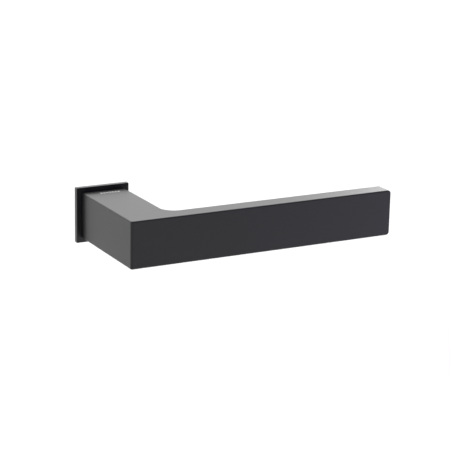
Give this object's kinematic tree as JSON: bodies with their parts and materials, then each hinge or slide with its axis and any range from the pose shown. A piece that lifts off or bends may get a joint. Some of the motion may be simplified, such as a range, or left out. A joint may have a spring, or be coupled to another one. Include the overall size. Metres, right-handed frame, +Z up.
{
  "type": "door lever handle",
  "caption": "Door lever handle on a slim square rose: a square neck that turns with a sharp corner into a flat bar, with its spindle, spring cassette and return spring.",
  "frame": {"origin": "where the spindle's axis meets the door's face, the back of the rose", "axes": "+Y into the door along the spindle, +X along the lever's bar from the neck to the tip, +Z up"},
  "size_m": [0.1562, 0.087, 0.03],
  "materials": {
    "black_coat": "satin",
    "cast_zinc": "satin",
    "black_acetal": "satin",
    "foam_seal": "matte",
    "nickel_plate": "gloss",
    "zinc_plated_steel": "satin",
    "turned_steel": "satin",
    "blackened_steel": "satin",
    "spring_steel": "satin"
  },
  "bodies": {
    "rose": {"rose_cover": "black_coat", "mounting_plate": "cast_zinc", "bearing_bush": "black_acetal", "stop_pins": "turned_steel", "spring_anchor_pin": "turned_steel", "spring_cap": "zinc_plated_steel", "cover_magnets": "nickel_plate", "door_gasket": "foam_seal", "mounting_screws": "zinc_plated_steel", "return_spring": "spring_steel"},
    "lever": {"lever_handle": "black_coat", "spindle_sleeve": "turned_steel", "sleeve_key_pin": "turned_steel", "grub_screw": "blackened_steel", "spindle": "zinc_plated_steel", "spindle_leaf_spring": "spring_steel", "spring_driver": "cast_zinc", "driver_pin": "turned_steel", "thrust_washer": "zinc_plated_steel", "disc_spring": "blackened_steel", "retaining_ring": "blackened_steel"}
  },
  "joints": [
    {"name": "lever_turn", "type": "hinge", "parent": "rose", "child": "lever", "pos_m": [0, 0, 0], "axis": [0, 1, 0], "range_deg": [0, 45], "stiffness_Nm_per_rad": 0.6, "springref_deg": -45.84, "deforming": ["return_spring"]}
  ]
}
